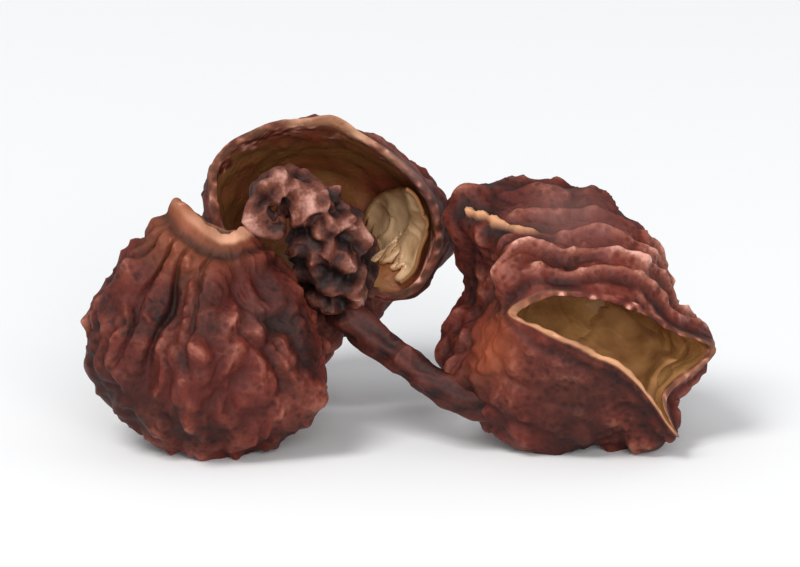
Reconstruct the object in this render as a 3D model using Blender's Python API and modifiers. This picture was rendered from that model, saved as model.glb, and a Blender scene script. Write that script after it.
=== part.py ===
"""A sprig of dried Sichuan pepper: three split husks on one thin stalk, lying on a table.

Each husk is a hollow, warty cup, and its rim is the mouth that opened when it split. The left and middle
husks grow from the swollen end of the stalk, beside a shrivelled small carpel with a hooked tip, and the
right husk grows at the stalk's other end. Two husks still hold a piece of their papery lining.
X runs from the left husk to the right one, Y away from the viewer and Z up, with the table at Z = 0.
"""

import bmesh
import bpy
import numpy as np

MM = 0.001

# Driving dimensions of the dried fruit
HUSK_WALL = 0.34 * MM
LIP_WALL = 0.22 * MM
LINING_WALL = 0.18 * MM
GAP = 0.1 * MM
WART_SPACING = 0.5 * MM
WART_HEIGHT = 0.2 * MM
STALK_RADIUS = 0.27 * MM
TABLE_CUT = 0.06 * MM

# How finely the cups are divided before the smooth areas are thinned out, and the share of faces kept
CUP_ROWS = 30
CUP_COLUMNS = 72
CUP_KEPT = 0.27
LINING_ROWS = 9
LINING_COLUMNS = 14
BEADS = 12
BEAD_RADIUS = (0.16, 0.24)
BEAD_SEED = 5

# Each husk in millimetres: its rim points, going round from the left end of the mouth by the lower lip;
# how far the wall flares out from each of them; the points round its belly, its widest part, which start at
# the same side; its closed end; how far the wall rounds over at the belly; how pointed the closed end is; the
# height of its folds; bulges, each with its middle, its radius and its reach; a bare patch, with its middle,
# its radius and how far the warts sink there; and its seed. The left husk's mouth looks up, the others look
# forwards.
HUSKS = {
    "husk_left": {
        "rim": (
            (-3.5, 0.25, 4.0), (-3.15, -0.1, 3.74), (-2.75, -0.2, 3.46), (-2.45, -0.05, 3.48),
            (-2.25, 0.4, 3.45), (-2.35, 1.0, 3.25), (-2.8, 1.35, 3.2), (-3.3, 1.0, 3.6),
        ),
        "flare": (0.1, 0.2, 0.25, 0.1, 0.0, 0.2, 0.3, 0.2),
        "belly": (
            (-4.78, 0.25, 1.72), (-4.25, -0.81, 1.66), (-2.98, -1.25, 1.52), (-1.71, -0.81, 1.38),
            (-1.18, 0.25, 1.32), (-1.71, 1.31, 1.38), (-2.98, 1.75, 1.52), (-4.25, 1.31, 1.66),
        ),
        "end": (-2.95, 0.2, 0.08),
        "round": 1.0,
        "point": 1.0,
        "folds": 0.1,
        "bulges": (),
        "bare": (-3.9, -0.9, 2.4, 1.0, 0.5),
        "seed": 11,
    },
    "husk_middle": {
        "rim": (
            (-2.95, 1.85, 4.1), (-2.6, 2.0, 2.6), (-1.1, 2.15, 2.25), (0.15, 2.2, 1.98),
            (0.68, 2.0, 3.0), (0.3, 1.75, 4.0), (-0.95, 1.5, 4.95), (-2.2, 1.6, 4.85),
        ),
        "flare": (0.2, 0.5, 0.5, 0.5, 0.5, 0.6, 0.15, 0.1),
        "belly": (
            (-3.05, 3.4, 2.25), (-2.57, 2.55, 1.57), (-1.4, 2.3, 1.5), (-0.35, 2.6, 2.0),
            (0.25, 3.4, 2.45), (-0.23, 4.25, 3.13), (-1.4, 4.6, 3.35), (-2.57, 4.25, 2.99),
        ),
        "end": (-2.3, 4.0, 0.05),
        "round": 0.9,
        "point": 2.6,
        "folds": 0.07,
        "bulges": ((-0.95, 1.5, 4.95, 0.5, 0.0, -0.02, 0.1),),
        "bare": (-0.25, 2.5, 1.9, 0.9, 1.0),
        "seed": 23,
    },
    "husk_right": {
        "rim": (
            (1.7, -0.55, 2.42), (2.1, -0.95, 2.27), (2.9, -1.2, 1.97), (3.6, -1.1, 1.5),
            (4.3, -0.72, 0.47), (4.15, -0.05, 0.92), (4.92, 0.5, 1.52), (4.3, 0.0, 2.0),
            (3.5, -0.5, 2.59), (2.35, -0.65, 2.77),
        ),
        "flare": (0.6, 0.6, 0.6, 0.4, 0.2, 0.1, 0.0, 0.1, 0.4, 0.6),
        "belly": (
            (1.1, 0.3, 2.1), (0.95, 0.1, 1.0), (1.65, 0.1, 0.4), (2.9, 0.2, 0.15),
            (3.7, 0.8, 0.4), (4.15, 1.5, 0.95), (4.45, 1.7, 1.6), (3.95, 1.5, 2.45),
            (3.2, 1.2, 3.65), (1.1, 0.9, 3.5),
        ),
        "end": (2.1, 2.5, 2.4),
        "round": 1.0,
        "point": 1.0,
        "folds": 0.07,
        "bulges": ((1.0, 0.4, 2.75, 1.1, 0.6, 0.0, 0.0),),
        "bare": (2.75, -0.8, 1.5, 1.75, 0.9),
        "seed": 37,
    },
}


# Each piece of lining: the husk that holds it, how far it reaches down the cup and round it (in radians),
# and how deep the teeth of its torn edge are
LININGS = {
    "lining_middle": {"husk": "husk_middle", "down": (0.08, 1.1), "turn": (2.42, 3.85), "tear": 0.08},
    "lining_right": {"husk": "husk_right", "down": (0.45, 1.6), "turn": (2.2, 3.6), "tear": 0.05},
}

# The stalk, its swollen end and the small carpel, as points with their thickness in stalk radii
STALK = (
    ((-0.9, 1.78, 2.12), 1.2), ((-0.8, 1.1, 2.12), 1.5), ((-0.62, 0.7, 1.88), 1.15), ((-0.05, 0.3, 1.52), 0.95),
    ((0.3, 0.12, 1.32), 1.0), ((0.52, 0.0, 1.19), 1.0),
)
SMALL_CARPEL = (
    ((-0.92, 1.05, 2.25), 1.4), ((-1.0, 0.9, 2.8), 2.0), ((-1.15, 0.8, 3.35), 2.1),
    ((-1.5, 0.7, 3.9), 1.2), ((-1.9, 0.6, 4.08), 0.75), ((-2.12, 0.5, 3.85), 0.55),
)


def smooth_step(value, low, high):
    share = np.clip((value - low) / (high - low), 0.0, 1.0)
    return share * share * (3.0 - 2.0 * share)


def loop_through(points, turn):
    """A closed curve through the points, spread evenly over a full turn: a Catmull-Rom spline."""
    points = np.array(points)
    count = len(points)
    place = np.mod(turn, 2.0 * np.pi) / (2.0 * np.pi) * count
    start = np.floor(place).astype(int)
    t = (place - start)[..., None]
    before, first, second, after = (points[(start + k) % count] for k in (-1, 0, 1, 2))
    curve = (2.0 * first + (second - before) * t
             + (2.0 * before - 5.0 * first + 4.0 * second - after) * t ** 2
             + (3.0 * first - before - 3.0 * second + after) * t ** 3)
    return curve / 2.0


def cup_point(husk, down, turn):
    """Points of the husk's skin without warts: down is 0 at the rim, 1 at the belly and 2 at the end.

    From rim to belly each wall line is a Hermite curve, and from belly to closed end a quarter ellipse.
    """
    turn = np.asarray(turn, float)
    rim, belly = loop_through(husk["rim"], turn), loop_through(husk["belly"], turn)
    flare = loop_through([(value,) for value in husk["flare"]], turn)
    mouth, middle = np.mean(husk["rim"], axis=0), np.mean(husk["belly"], axis=0)
    axis = np.array(husk["end"]) - middle
    t = np.clip(down, 0.0, 1.0)[..., None]
    chord = belly - rim
    span = np.linalg.norm(chord, axis=-1, keepdims=True)
    leave = flare * (rim - mouth) + chord
    leave = span * leave / np.linalg.norm(leave, axis=-1, keepdims=True)
    arrive = husk["round"] * span * axis / np.linalg.norm(axis)
    upper = ((2.0 * t ** 3 - 3.0 * t ** 2 + 1.0) * rim + (t ** 3 - 2.0 * t ** 2 + t) * leave
             + (3.0 * t ** 2 - 2.0 * t ** 3) * belly + (t ** 3 - t ** 2) * arrive)
    angle = (np.clip(down - 1.0, 0.0, 1.0) * np.pi / 2.0)[..., None]
    core = middle + axis * np.sin(angle)
    lower = core + (belly - middle) * np.cos(angle) ** husk["point"]
    point = core + (np.where(t < 1.0, upper, lower) - core) * (1.0 + folds_at(husk, down, turn)[..., None])
    for *place, radius, along_x, along_y, along_z in husk["bulges"]:
        near = smooth_step(radius - np.linalg.norm(point - place, axis=-1), 0.0, radius)
        point = point + near[..., None] * np.array((along_x, along_y, along_z))
    return point * MM


def drawn_in(points, middle, inset):
    """The points, each moved towards the middle by the inset."""
    inward = middle - np.array(points)
    return np.array(points) + inward * inset / MM / np.linalg.norm(inward, axis=-1, keepdims=True)


def inner_husk(husk, inset, lip_inset):
    """The smooth, smaller cup inside a husk: its rim, belly and end drawn in by the insets."""
    middle = np.mean(husk["belly"], axis=0)
    inner = dict(husk)
    inner["rim"] = drawn_in(husk["rim"], np.mean(husk["rim"], axis=0), lip_inset)
    inner["belly"] = drawn_in(husk["belly"], middle, inset)
    inner["end"] = drawn_in(husk["end"], middle, inset)
    inner["folds"] = 0.0
    return inner


def folds_at(husk, down, turn):
    """The share by which the long folds swell the cup, strongest half way between rim and belly."""
    seed = husk["seed"]
    wave = np.sin(6.0 * turn + seed) + 0.6 * np.sin(11.0 * turn - 2.0 * seed + 1.2 * down)
    return husk["folds"] * 0.5 * wave * smooth_step(down, 0.05, 0.5) * smooth_step(2.0 - down, 0.1, 0.8)


def wart_field(husk):
    """Where the oil warts stand on the skin, no two closer than their spacing, with their sizes."""
    draw = np.random.default_rng(husk["seed"])
    down = 2.0 * draw.uniform(0.0, 1.0, 3000) ** 0.8
    points = cup_point(husk, down, draw.uniform(0.0, 2.0 * np.pi, 3000))
    kept = []
    for i, point in enumerate(points):
        if all(np.linalg.norm(points[k] - point) > WART_SPACING for k in kept):
            kept.append(i)
    return points[kept], draw.uniform(0.7, 1.25, len(kept))


def wart_height(husk, points, down):
    """How far the round warts lift the skin, fading out towards the rim."""
    centres, sizes = wart_field(husk)
    apart = np.linalg.norm(points[:, None, :] - centres[None, :, :], axis=2)
    dome = np.sqrt(np.clip(1.0 - (apart / (0.66 * WART_SPACING * sizes)) ** 2, 0.0, 1.0))
    *patch, radius, sink = husk["bare"]
    worn = 1.0 - sink * smooth_step(radius - np.linalg.norm(points / MM - patch, axis=1), 0.0, 0.6 * radius)
    return WART_HEIGHT * (dome * sizes).max(axis=1) * smooth_step(down, 0.0, 0.25) * worn


def sheet_mesh(name, rows, columns, place):
    """A grid whose corners place() moves, with each corner's two positions kept as attributes."""
    bm = bmesh.new()
    bmesh.ops.create_grid(bm, x_segments=rows, y_segments=columns, size=1.0)
    layers = bm.verts.layers.float.new("down"), bm.verts.layers.float.new("turn")
    grid = np.array([vert.co[:2] for vert in bm.verts])
    points, down, turn = place((grid[:, 0] + 1.0) / 2.0, (grid[:, 1] + 1.0) / 2.0)
    for vert, point, values in zip(bm.verts, points, zip(down, turn)):
        vert.co = point
        vert[layers[0]], vert[layers[1]] = values
    bmesh.ops.remove_doubles(bm, verts=bm.verts, dist=0.005 * MM)
    bmesh.ops.recalc_face_normals(bm, faces=bm.faces)
    mesh = bpy.data.meshes.new(name)
    bm.to_mesh(mesh)
    bm.free()
    return mesh


def vertex_points(mesh):
    points = np.empty(len(mesh.vertices) * 3, np.float32)
    mesh.vertices.foreach_get("co", points)
    return points.reshape(-1, 3).astype(float)


def vertex_values(mesh, name):
    values = np.empty(len(mesh.vertices), np.float32)
    mesh.attributes[name].data.foreach_get("value", values)
    return values.astype(float)


def set_points(mesh, points):
    mesh.vertices.foreach_set("co", points.astype(np.float32).ravel())
    mesh.update()


def face_away(mesh, middle):
    """Turns an open sheet's faces so that they look away from the middle."""
    normals = np.array([face.normal[:] for face in mesh.polygons])
    centres = np.array([face.center[:] for face in mesh.polygons])
    if ((centres - middle) * normals).sum() < 0.0:
        mesh.flip_normals()


def with_modifier(obj, kind, **settings):
    """The object's mesh with one modifier applied."""
    modifier = obj.modifiers.new(kind.lower(), kind)
    for key, value in settings.items():
        setattr(modifier, key, value)
    graph = bpy.context.evaluated_depsgraph_get()
    mesh = bpy.data.meshes.new_from_object(obj.evaluated_get(graph))
    obj.modifiers.remove(modifier)
    return mesh


def make_material(name, colour, roughness):
    material = bpy.data.materials.new(name)
    material.use_nodes = True
    shader = material.node_tree.nodes["Principled BSDF"]
    shader.inputs["Base Color"].default_value = (*colour, 1.0)
    shader.inputs["Roughness"].default_value = roughness
    shader.inputs["Metallic"].default_value = 0.0
    return material


def add_part(name, mesh, parts, material, sprig):
    obj = bpy.data.objects.new(name, mesh)
    parts.objects.link(obj)
    obj.parent = sprig
    mesh.materials.append(material)
    return obj


def make_husk(name, parts, material, sprig):
    """A cup with a smooth inside, whose skin is raised into warts and is flat where it meets the table."""
    husk = HUSKS[name]

    def place(u, v):
        down, turn = 2.0 * u, 2.0 * np.pi * v
        return cup_point(husk, down, turn), down, turn

    obj = add_part(name, sheet_mesh(name, CUP_ROWS, CUP_COLUMNS, place), parts, material, sprig)
    face_away(obj.data, np.mean(husk["belly"], axis=0) * MM)
    outside = len(obj.data.vertices)
    obj.data = with_modifier(obj, "SOLIDIFY", thickness=HUSK_WALL, offset=-1.0)
    points = vertex_points(obj.data)
    normals = np.array([vert.normal[:] for vert in obj.data.vertices])
    down, turn = vertex_values(obj.data, "down"), vertex_values(obj.data, "turn")
    points[outside:] = cup_point(inner_husk(husk, HUSK_WALL, LIP_WALL), down[outside:], turn[outside:])
    lift = np.zeros(len(points))
    lift[:outside] = wart_height(husk, points[:outside], down[:outside])
    set_points(obj.data, points + normals * lift[:, None])
    obj.data = with_modifier(obj, "DECIMATE", ratio=CUP_KEPT)
    points = vertex_points(obj.data)
    points[:, 2] = np.maximum(points[:, 2], TABLE_CUT)
    set_points(obj.data, points)
    obj.data.shade_smooth()
    return obj


def make_lining(name, parts, material, sprig):
    """A thin curved scrap that follows its husk's inner wall, with three torn edges."""
    lining = LININGS[name]
    husk = inner_husk(HUSKS[lining["husk"]], HUSK_WALL + GAP, LIP_WALL + GAP)

    def place(u, v):
        torn = lining["tear"] * np.sin(23.0 * v + 5.0 * np.sin(7.0 * v))
        low, high = lining["down"]
        down = low + (high + torn - low) * u
        first, last = lining["turn"]
        turn = first + (last - first) * (v + 0.02 * np.sin(17.0 * u) * np.sin(np.pi * v))
        return cup_point(husk, down, turn), down, turn

    obj = add_part(name, sheet_mesh(name, LINING_ROWS, LINING_COLUMNS, place), parts, material, sprig)
    face_away(obj.data, np.mean(husk["belly"], axis=0) * MM)
    obj.data = with_modifier(obj, "SOLIDIFY", thickness=LINING_WALL, offset=-1.0)
    obj.data.shade_smooth()
    return obj


def tapered_tube(name, stations, parts):
    """A mesh of a round tube whose thickness follows its stations, with its caps welded."""
    curve = bpy.data.curves.new(name, "CURVE")
    curve.dimensions = "3D"
    curve.bevel_depth = STALK_RADIUS
    curve.bevel_resolution = 2
    curve.resolution_u = 3
    curve.use_fill_caps = True
    spline = curve.splines.new("BEZIER")
    spline.bezier_points.add(len(stations) - 1)
    for point, (place, thickness) in zip(spline.bezier_points, stations):
        point.co = [value * MM for value in place]
        point.radius = thickness
        point.handle_left_type = "AUTO"
        point.handle_right_type = "AUTO"
    guide = bpy.data.objects.new(name, curve)
    parts.objects.link(guide)
    graph = bpy.context.evaluated_depsgraph_get()
    mesh = bpy.data.meshes.new_from_object(guide.evaluated_get(graph))
    bpy.data.objects.remove(guide)
    bm = bmesh.new()
    bm.from_mesh(mesh)
    bmesh.ops.remove_doubles(bm, verts=bm.verts, dist=0.001 * MM)
    bm.to_mesh(mesh)
    bm.free()
    return mesh


def bead_mesh(place, radius):
    bm = bmesh.new()
    bmesh.ops.create_icosphere(bm, subdivisions=2, radius=radius * MM)
    bmesh.ops.translate(bm, verts=bm.verts, vec=[value * MM for value in place])
    mesh = bpy.data.meshes.new("bead")
    bm.to_mesh(mesh)
    bm.free()
    return mesh


def make_stalk(name, parts, material, sprig):
    """The stalk, its swollen end and the warty small carpel, fused by one union."""
    obj = add_part(name, tapered_tube(name, STALK, parts), parts, material, sprig)
    draw = np.random.default_rng(BEAD_SEED)
    grown = bpy.data.collections.new("grown_on_stalk")
    meshes = [tapered_tube("small_carpel", SMALL_CARPEL, parts)]
    for _ in range(BEADS):
        (first, thick), (second, _) = [SMALL_CARPEL[k] for k in draw.permutation(4)[:2]]
        share = draw.uniform(0.0, 1.0)
        middle = np.array(first) * share + np.array(second) * (1.0 - share)
        angle = draw.uniform(0.0, 2.0 * np.pi)
        reach = 0.85 * thick * STALK_RADIUS / MM
        place = middle + reach * np.array([np.cos(angle), -0.8 * abs(np.sin(angle)), 0.2 * np.sin(angle)])
        meshes.append(bead_mesh(place, draw.uniform(*BEAD_RADIUS)))
    for mesh in meshes:
        grown.objects.link(bpy.data.objects.new(mesh.name, mesh))
    bpy.context.scene.collection.children.link(grown)
    obj.data = with_modifier(obj, "BOOLEAN", operation="UNION", operand_type="COLLECTION", collection=grown)
    for extra in list(grown.objects):
        bpy.data.objects.remove(extra)
    bpy.data.collections.remove(grown)
    obj.data.shade_smooth()
    return obj


def main():
    for obj in list(bpy.data.objects):
        bpy.data.objects.remove(obj, do_unlink=True)
    parts = bpy.data.collections.new("sichuan_pepper_sprig")
    bpy.context.scene.collection.children.link(parts)
    sprig = bpy.data.objects.new("sprig", None)
    parts.objects.link(sprig)
    husk_skin = make_material("husk_skin", (0.156, 0.036, 0.024), 0.55)
    for name in HUSKS:
        make_husk(name, parts, husk_skin, sprig)
    lining_skin = make_material("lining", (0.332, 0.195, 0.08), 0.45)
    for name in LININGS:
        make_lining(name, parts, lining_skin, sprig)
    make_stalk("stalk", parts, make_material("stalk_bark", (0.069, 0.019, 0.021), 0.65), sprig)
    corners = np.concatenate([vertex_points(obj.data) for obj in parts.objects if obj.type == "MESH"])
    low, high = corners.min(axis=0), corners.max(axis=0)
    sprig.location = (-(low[0] + high[0]) / 2.0, -(low[1] + high[1]) / 2.0, -low[2])


main()
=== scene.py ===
import bpy
import numpy as np
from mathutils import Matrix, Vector


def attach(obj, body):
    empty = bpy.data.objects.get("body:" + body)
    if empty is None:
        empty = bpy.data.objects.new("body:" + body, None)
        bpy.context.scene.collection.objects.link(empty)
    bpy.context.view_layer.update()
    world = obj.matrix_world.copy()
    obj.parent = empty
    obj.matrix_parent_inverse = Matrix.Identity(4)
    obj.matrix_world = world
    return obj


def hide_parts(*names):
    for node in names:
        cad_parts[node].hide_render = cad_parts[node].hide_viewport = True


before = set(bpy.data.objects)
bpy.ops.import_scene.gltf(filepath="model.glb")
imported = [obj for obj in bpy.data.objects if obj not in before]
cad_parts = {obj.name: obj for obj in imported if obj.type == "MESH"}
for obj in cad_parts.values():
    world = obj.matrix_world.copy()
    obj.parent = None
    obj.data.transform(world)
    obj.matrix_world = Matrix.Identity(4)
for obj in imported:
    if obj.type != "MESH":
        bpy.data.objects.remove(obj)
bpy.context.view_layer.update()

mm = 0.001
tau = 2.0 * np.pi
originShift = np.array([-0.0112, -1.681, -0.06])  # mm, from the frame the sprig is drawn in to the part's own
tableCut = 0.06  # mm, the height in the drawing frame at which a husk is flat underneath

# The swells that run down every husk: how many go round it, the finer set's share, and where they fade out
swells = {
    "count": 6.0, "finerCount": 11.0, "finerShare": 0.6, "twist": 1.2,
    "rimFade": (0.05, 0.5), "endFade": (0.1, 0.8),
}
# Random fields: how many waves are added up, how far their lengths spread, and how sharp a ridge's top is
field = {"count": 22, "spread": (0.7, 1.5), "ridge": 1.6}
domeSlices = 48  # the grid is worked through in slices, to spare memory


def smoothStep(value, low, high):
    share = np.clip((value - low) / (high - low), 0.0, 1.0)
    return share * share * (3.0 - 2.0 * share)


def spline(points, place, closed):
    # Catmull-Rom: between two points, the cubic whose slope at each is half the step between its neighbours
    points = np.array(points, float)
    count = len(points)
    start = np.floor(place).astype(int)
    if not closed:
        start = np.clip(start, 0, count - 2)
    t = (place - start)[..., None]
    before, first, second, after = (
        points[(start + k) % count if closed else np.clip(start + k, 0, count - 1)] for k in (-1, 0, 1, 2))
    return (2.0 * first + (second - before) * t
            + (2.0 * before - 5.0 * first + 4.0 * second - after) * t ** 2
            + (3.0 * first - before - 3.0 * second + after) * t ** 3) / 2.0


def wallPoint(husk, down, turn):
    # in mm: a Hermite curve from rim to belly ring (down 0 to 1), then a quarter ellipse to the end (2)
    share = np.mod(turn, tau) / tau
    rim, belly = (spline(husk[key], share * len(husk[key]), True) for key in ("rim", "belly"))
    flare = spline(np.array(husk["flare"])[:, None], share * len(husk["flare"]), True)
    mouth, middle = np.mean(husk["rim"], axis=0), np.mean(husk["belly"], axis=0)
    axis = np.array(husk["end"]) - middle
    t = np.clip(down, 0.0, 1.0)[..., None]
    chord = belly - rim
    length = np.linalg.norm(chord, axis=-1, keepdims=True)
    leave = flare * (rim - mouth) + chord
    leave = length * leave / np.linalg.norm(leave, axis=-1, keepdims=True)
    arrive = husk["round"] * length * axis / np.linalg.norm(axis)
    upper = ((2.0 * t ** 3 - 3.0 * t ** 2 + 1.0) * rim + (t ** 3 - 2.0 * t ** 2 + t) * leave
             + (3.0 * t ** 2 - 2.0 * t ** 3) * belly + (t ** 3 - t ** 2) * arrive)
    angle = (np.clip(down - 1.0, 0.0, 1.0) * np.pi / 2.0)[..., None]
    core = middle + axis * np.sin(angle)
    point = np.where(t < 1.0, upper, core + (belly - middle) * np.abs(np.cos(angle)) ** husk["point"])
    wave = np.sin(swells["count"] * turn + husk["seed"])
    finer = np.sin(swells["finerCount"] * turn - 2.0 * husk["seed"] + swells["twist"] * down)
    swell = husk["folds"] * 0.5 * (wave + swells["finerShare"] * finer)
    swell = swell * smoothStep(down, *swells["rimFade"]) * smoothStep(2.0 - down, *swells["endFade"])
    point = core + (point - core) * (1.0 + swell[..., None])
    for *place, radius, moveX, moveY, moveZ in husk["pulls"]:
        near = smoothStep(radius - np.linalg.norm(point - place, axis=-1), 0.0, radius)
        point = point + near[..., None] * np.array([moveX, moveY, moveZ])
    return point


def drawnIn(points, middle, inset):
    toMiddle = middle - np.array(points)
    return np.array(points) + toMiddle * inset / np.linalg.norm(toMiddle, axis=-1, keepdims=True)


def innerHusk(husk, inset, lipInset):
    # the smooth cup inside: rim, belly and closed end drawn in by the insets
    middle = np.mean(husk["belly"], axis=0)
    return dict(husk, folds=0.0, rim=drawnIn(husk["rim"], np.mean(husk["rim"], axis=0), lipInset),
                belly=drawnIn(husk["belly"], middle, inset), end=drawnIn(husk["end"], middle, inset))


def gridNormals(grid, closed, middle):
    # unit normals: the cross product of a grid's two slopes, turned away from the middle
    along = np.gradient(grid, axis=0)
    around = aroundWay(grid) if closed else np.gradient(grid, axis=1)
    normal = np.cross(around, along)
    normal /= np.maximum(np.linalg.norm(normal, axis=-1, keepdims=True), 1e-12)
    return normal * np.sign(((grid - middle) * normal).sum())


def aroundWay(grid):
    # the direction round a closed grid: the step from the neighbour before to the neighbour after
    return np.roll(grid, -1, axis=1) - np.roll(grid, 1, axis=1)


def waves(points, wavelength, seed):
    # a smooth random field of about unit height: a sum of plane waves in random directions
    draw = np.random.default_rng(seed)
    count = field["count"]
    steps = draw.normal(size=(count, 3))
    lengths = wavelength * draw.uniform(*field["spread"], (count, 1))
    steps *= tau / (np.linalg.norm(steps, axis=1, keepdims=True) * lengths)
    return np.sin(points @ steps.T + draw.uniform(0.0, tau, count)).sum(axis=-1) / np.sqrt(count / 2.0)


def ridged(points, wavelength, seed):
    # sharp-topped wrinkles: one where the random field crosses zero, falling to zero away from it
    return np.exp(-field["ridge"] * np.abs(waves(points, wavelength, seed)))


def spaced(points, spacing):
    # the points that stand more than one spacing from all those kept before them
    kept = [0]
    for i in range(1, len(points)):
        if np.square(points[kept] - points[i]).sum(axis=1).min() > spacing ** 2:
            kept.append(i)
    return kept


def domes(points, lengthwise, centres, sizes, spacing, stretch):
    # soft bumps: size * exp(-(distance / reach)^2), longer lengthwise by the stretch, the tallest one ruling
    flat, way = points.reshape(-1, 3), lengthwise.reshape(-1, 3)
    height = np.zeros(len(flat))
    for part in np.array_split(np.arange(len(flat)), domeSlices):
        here, ahead = flat[part], way[part]
        apart = np.square(here).sum(axis=1)[:, None] + np.square(centres).sum(axis=1) - 2.0 * here @ centres.T
        along = (here * ahead).sum(axis=1)[:, None] - ahead @ centres.T
        apart = apart - (1.0 - 1.0 / stretch ** 2) * along ** 2
        bump = sizes * np.exp(-apart / np.square(relief["reach"] * spacing * sizes))
        height[part] = np.cbrt((bump ** 3).sum(axis=1))
    return height.reshape(points.shape[:-1])


def zone(points, patch):
    # one at the middle of a round patch (its place and radius), fading to nothing at its edge
    *middle, radius = patch
    return smoothStep(radius - np.linalg.norm(points - middle, axis=-1), 0.0, radius)


def lineDistance(points, path):
    # the distance of each point from the nearest part of a bent line
    nearest = np.full(points.shape[:-1], np.inf)
    for first, second in zip(path[:-1], path[1:]):
        step = second - first
        share = np.clip(((points - first) @ step) / (step @ step), 0.0, 1.0)
        nearest = np.minimum(nearest, np.linalg.norm(points - first - share[..., None] * step, axis=-1))
    return nearest


def gridPart(grid, values, closed=True, caps=True):
    # quads between grid neighbours, with a fan to the middle of the first and the last row where it is capped
    rows, columns = grid.shape[:2]
    index = np.arange(rows * columns).reshape(rows, columns)
    left, right = (index, np.roll(index, -1, axis=1)) if closed else (index[:, :-1], index[:, 1:])
    quads = np.stack([left[:-1], right[:-1], right[1:], left[1:]], axis=-1).reshape(-1, 4)
    points = grid.reshape(-1, 3)
    flat = {key: value.ravel() for key, value in values.items()}
    fans = np.zeros((0, 3), int)
    if caps:
        points = np.concatenate([points, grid[0].mean(axis=0)[None], grid[-1].mean(axis=0)[None]])
        flat = {key: np.append(flat[key], [value[0].mean(), value[-1].mean()])
                for key, value in values.items()}
        top = np.stack([right[0], left[0], np.full(columns, rows * columns)], axis=-1)
        bottom = np.stack([left[-1], right[-1], np.full(columns, rows * columns + 1)], axis=-1)
        fans = np.concatenate([top, bottom])
        a, b, c, d = (points[quads[:, k]] for k in range(4))
        volume = (a * np.cross(b, c) + a * np.cross(c, d)).sum()
        if volume < 0.0:  # inside out
            quads, fans = quads[:, ::-1], fans[:, ::-1]
    return points, quads, fans, flat


def buildMesh(name, part):
    # one grid's points, quads and fans as a mesh, with its values as point attributes
    points, quads, fans, values = part
    mesh = bpy.data.meshes.new(name)
    mesh.from_pydata(((points + originShift) * mm).tolist(), [], quads.tolist() + fans.tolist())
    for key, value in values.items():
        layer = mesh.attributes.new(key, "FLOAT", "POINT")
        layer.data.foreach_set("value", value.astype(np.float32))
    mesh.shade_smooth()
    return mesh


def addPiece(name, mesh, material, node):
    piece = bpy.data.objects.new(name, mesh)
    bpy.context.scene.collection.objects.link(piece)
    mesh.materials.append(material)
    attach(piece, "root")
    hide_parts(node)
    print("made", name, len(mesh.polygons), "faces")
    return piece


def linear(hexColour):
    # sRGB hex to linear: the sRGB curve undone channel by channel
    channels = [int(hexColour[k:k + 2], 16) / 255.0 for k in (1, 3, 5)]
    return tuple(c / 12.92 if c <= 0.04045 else ((c + 0.055) / 1.055) ** 2.4 for c in channels) + (1.0,)


def addNode(tree, kind, settings=None, links=None):
    node = tree.nodes.new(kind)
    for key, value in (settings or {}).items():
        if key == "stops":
            for k, (place, colour) in enumerate(value):
                stop = node.color_ramp.elements[k] if k < 2 else node.color_ramp.elements.new(place)
                stop.position, stop.color = place, linear(colour)
        elif isinstance(key, int) or key in node.inputs:
            node.inputs[key].default_value = linear(value) if isinstance(value, str) else value
        else:
            setattr(node, key, value)
    for key, socket in (links or {}).items():
        tree.links.new(socket, node.inputs[key])
    return node


def mixed(tree, first, second, share):
    # one colour laid over another by a share; each is a socket or a hex colour
    ends = {6: first, 7: second}  # a Mix node's two colour sockets
    settings = {key: value for key, value in ends.items() if isinstance(value, str)}
    links = {key: value for key, value in ends.items() if not isinstance(value, str)}
    return addNode(tree, "ShaderNodeMix", {"data_type": "RGBA", **settings}, {**links, 0: share}).outputs[2]


def patternScale(size):
    # a texture's scale from the real size of its pattern in mm
    return 1.0 / (size * mm)


def newMaterial(name, attributes):
    material = bpy.data.materials.new(name)
    material.use_nodes = True
    tree = material.node_tree
    place = addNode(tree, "ShaderNodeTexCoord").outputs["Object"]
    read = {key: addNode(tree, "ShaderNodeAttribute", {"attribute_name": key}).outputs["Fac"]
            for key in attributes}
    return material, tree, tree.nodes["Principled BSDF"], place, read


# Dried pericarp is leathery and slightly waxy, and its split lip is a thin line of pale, dry flesh. Its colour
# follows the relief: near black between the warts as painted shade, pale pink on their tops as painted
# highlight
skinTones = {
    "crevice": "#1f0804", "low": "#3f140b", "mid": "#5f281b", "high": "#905544", "tip": "#d39a8a",
    # the pinkish-grey patch colour is a painted sheen on tops that face up, and dark is painted shade
    "red": "#641d15", "warm": "#9a5836", "dusk": "#8a625c", "dark": "#240b06", "tan": "#b57f57",
    "insideDark": "#5a3320", "insideGold": "#84552f",
    "most": {"warm": 0.55, "dusk": 0.45, "dark": 0.7},  # how strong each patch is at its middle
    "oilDot": 0.07, "gland": 0.15, "mottle": 0.9,  # mm
    "grain": 0.4, "deepened": 0.16,
}


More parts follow.
